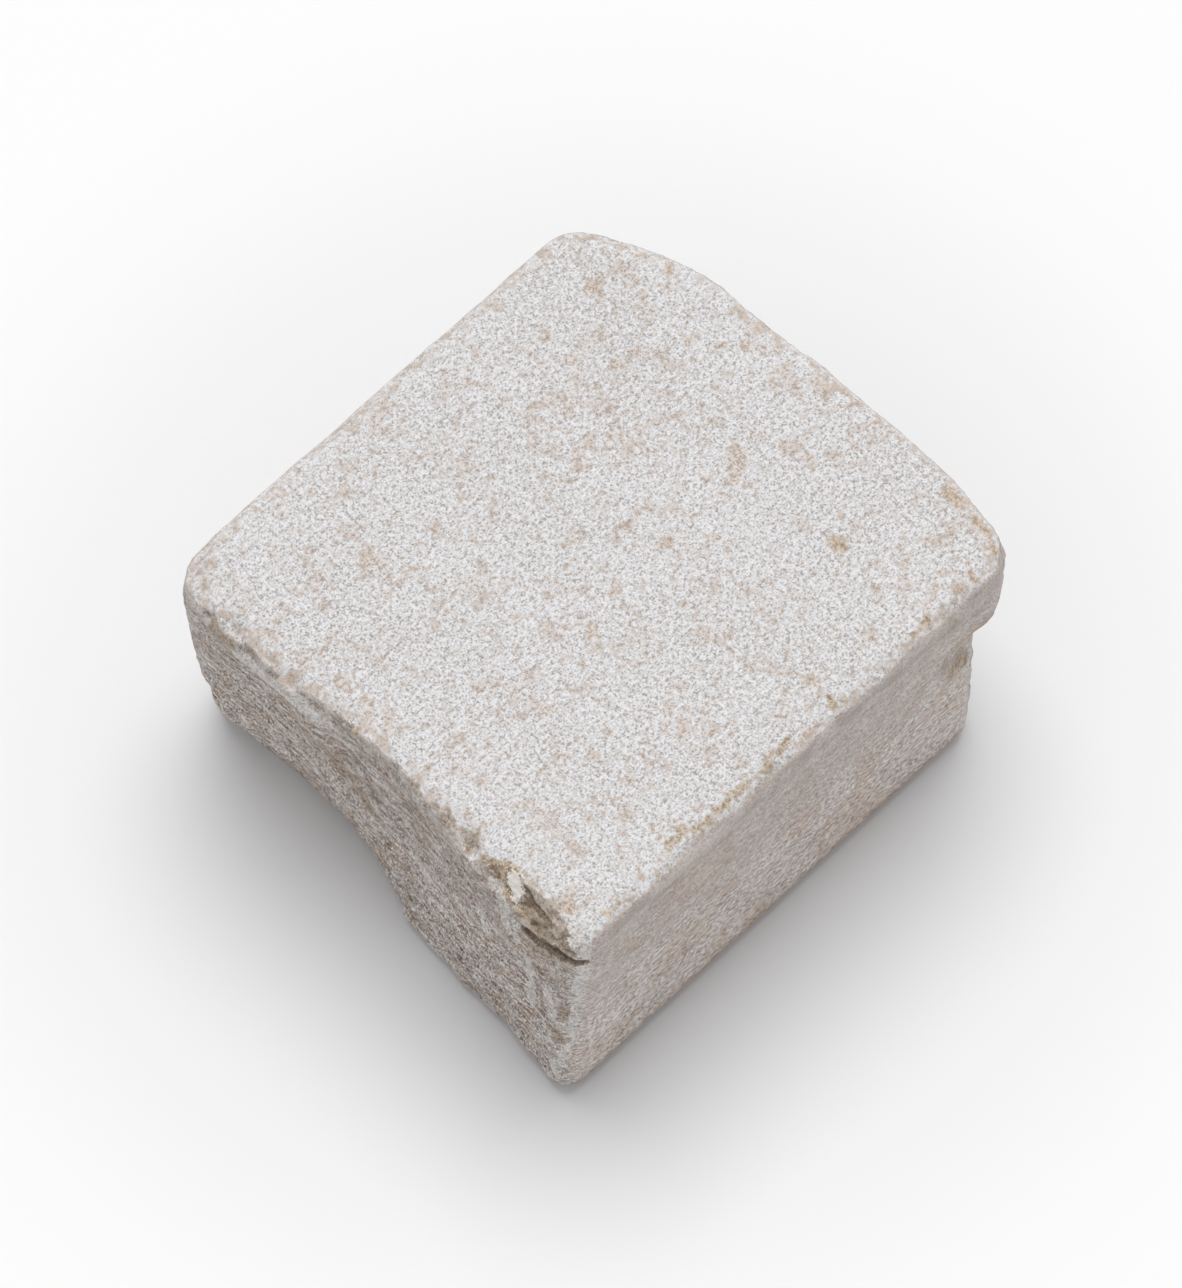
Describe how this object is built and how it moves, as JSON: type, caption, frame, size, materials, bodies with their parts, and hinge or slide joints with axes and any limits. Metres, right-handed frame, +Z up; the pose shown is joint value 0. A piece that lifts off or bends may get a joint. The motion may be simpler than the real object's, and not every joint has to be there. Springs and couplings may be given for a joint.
{
  "type": "tumbled limestone paving stone",
  "caption": "Square tumbled limestone paving stone with sawn sides, rough split ends, a fine textured wearing face and worn, chipped edges.",
  "frame": {"origin": "bottom centre of the stone's bounding box, on the bed", "axes": "+X from the near split end to the far split end, the longest extent; +Y from one sawn side to the other; +Z up from the bed to the wearing face, the shortest extent"},
  "size_m": [0.112, 0.1, 0.056],
  "materials": {
    "limestone": "matte, fine textured top, worn edges"
  },
  "bodies": {
    "root": {"paving_stone": "limestone"}
  },
  "joints": []
}
